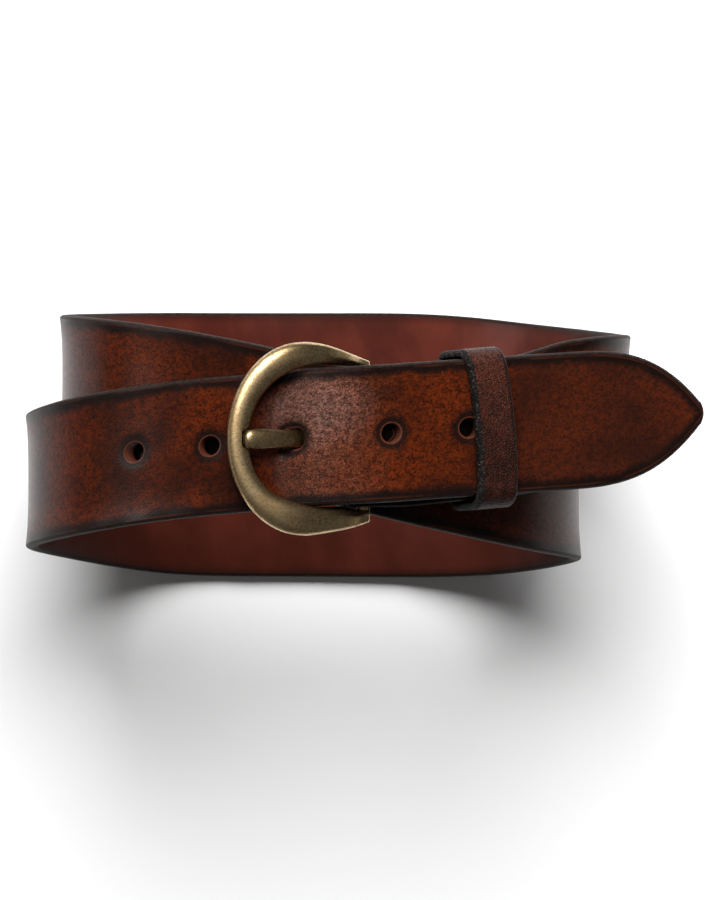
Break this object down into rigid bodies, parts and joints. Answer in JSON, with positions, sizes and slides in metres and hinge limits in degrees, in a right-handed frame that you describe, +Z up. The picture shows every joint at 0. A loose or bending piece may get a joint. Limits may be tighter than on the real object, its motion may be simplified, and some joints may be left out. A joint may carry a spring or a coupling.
{
  "type": "leather belt",
  "caption": "Leather trouser belt, buckled and rolled up, with a cast D-shaped brass buckle, a prong through a punched hole, and a sliding leather keeper loop.",
  "frame": {"origin": "middle of the roll at its base, where it rests on its back", "axes": "+Z up through the buckle, +X along the strap towards the pointed end, +Y across the strap"},
  "size_m": [0.1889, 0.0772, 0.1196],
  "materials": {
    "strap_leather": "burnished full-grain leather, waxed, dark edges",
    "keeper_leather": "dark burnished leather",
    "antique_brass": "satin antique brass",
    "screw_steel": "plain plated steel"
  },
  "bodies": {
    "strap": {"strap": "strap_leather", "bar_screw_post": "screw_steel", "bar_screw": "screw_steel", "end_screw_post": "screw_steel", "end_screw": "screw_steel"},
    "buckle": {"buckle_frame": "antique_brass"},
    "prong": {"prong": "antique_brass"},
    "keeper": {"keeper_loop": "keeper_leather", "keeper_staple": "screw_steel"}
  },
  "joints": [
    {"name": "frame_swivel", "type": "hinge", "parent": "strap", "child": "buckle", "pos_m": [0.0009, 0.00165, 0.1095], "axis": [0, 1, 0], "range_deg": [0, 2]},
    {"name": "prong_lift", "type": "hinge", "parent": "buckle", "child": "prong", "pos_m": [0.0009, 0.00165, 0.1095], "axis": [0, 1, 0], "range_deg": [0, 2]},
    {"name": "keeper_slide", "type": "slide", "parent": "strap", "child": "keeper", "axis": [0.9889, 0.0848, -0.1219], "range_m": [-0.003, 0.004]}
  ]
}
